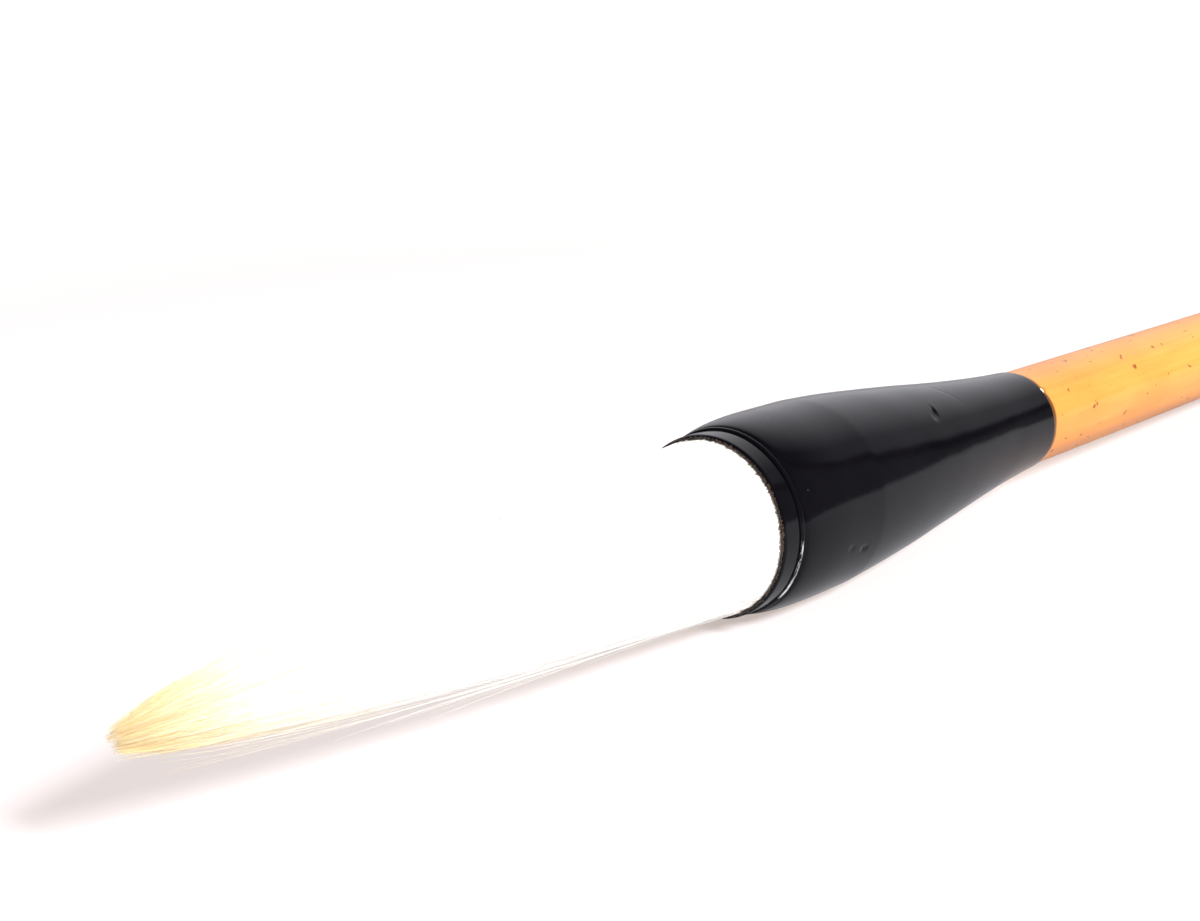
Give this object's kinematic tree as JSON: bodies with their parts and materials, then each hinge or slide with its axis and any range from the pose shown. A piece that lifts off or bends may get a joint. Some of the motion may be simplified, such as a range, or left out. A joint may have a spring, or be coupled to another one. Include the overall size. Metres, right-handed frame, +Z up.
{
  "type": "calligraphy brush",
  "caption": "Large calligraphy brush lying down: goat-hair tuft that bends, turned bell-shaped ferrule, bamboo handle and a turned tail cap with a cord hole.",
  "frame": {"origin": "centre of the brush's box on the surface that it lies on", "axes": "+X from the hair tip towards the tail cap, +Z up; the brush's own axis dips 1.23 degrees towards the tail, because the brush rests on the back edge of the ferrule's drum and on the tail cap"},
  "size_m": [0.3014, 0.0208, 0.0209],
  "materials": {
    "tuft_hair": "matte, combed hair",
    "root_hair": "matte, bound hair",
    "binding_thread": "waxed thread",
    "rosin": "glassy brown resin",
    "glue": "amber glue",
    "ferrule_black": "polished black",
    "bamboo": "satin, oiled skin",
    "dowel_wood": "plain wood",
    "cap_black": "polished black"
  },
  "bodies": {
    "handle": {"ferrule": "ferrule_black", "handle": "bamboo", "tail_cap": "cap_black", "tail_dowel": "dowel_wood", "dowel_glue": "glue", "spigot_glue": "glue", "socket_glue": "glue", "mouth_resin": "rosin", "root_seal": "rosin", "root_binding": "binding_thread", "mantle_root": "root_hair", "lining_root": "root_hair", "core_root": "root_hair"},
    "tuft": {"mantle_hair": "tuft_hair", "lining_hair": "tuft_hair", "core_hair": "tuft_hair"}
  },
  "joints": [
    {"name": "tuft_bend", "type": "hinge", "parent": "handle", "child": "tuft", "pos_m": [-0.09665, 0, 0.01111], "axis": [0.0215, 0, 0.9998], "range_deg": [-45, 45], "stiffness_Nm_per_rad": 0.004}
  ]
}
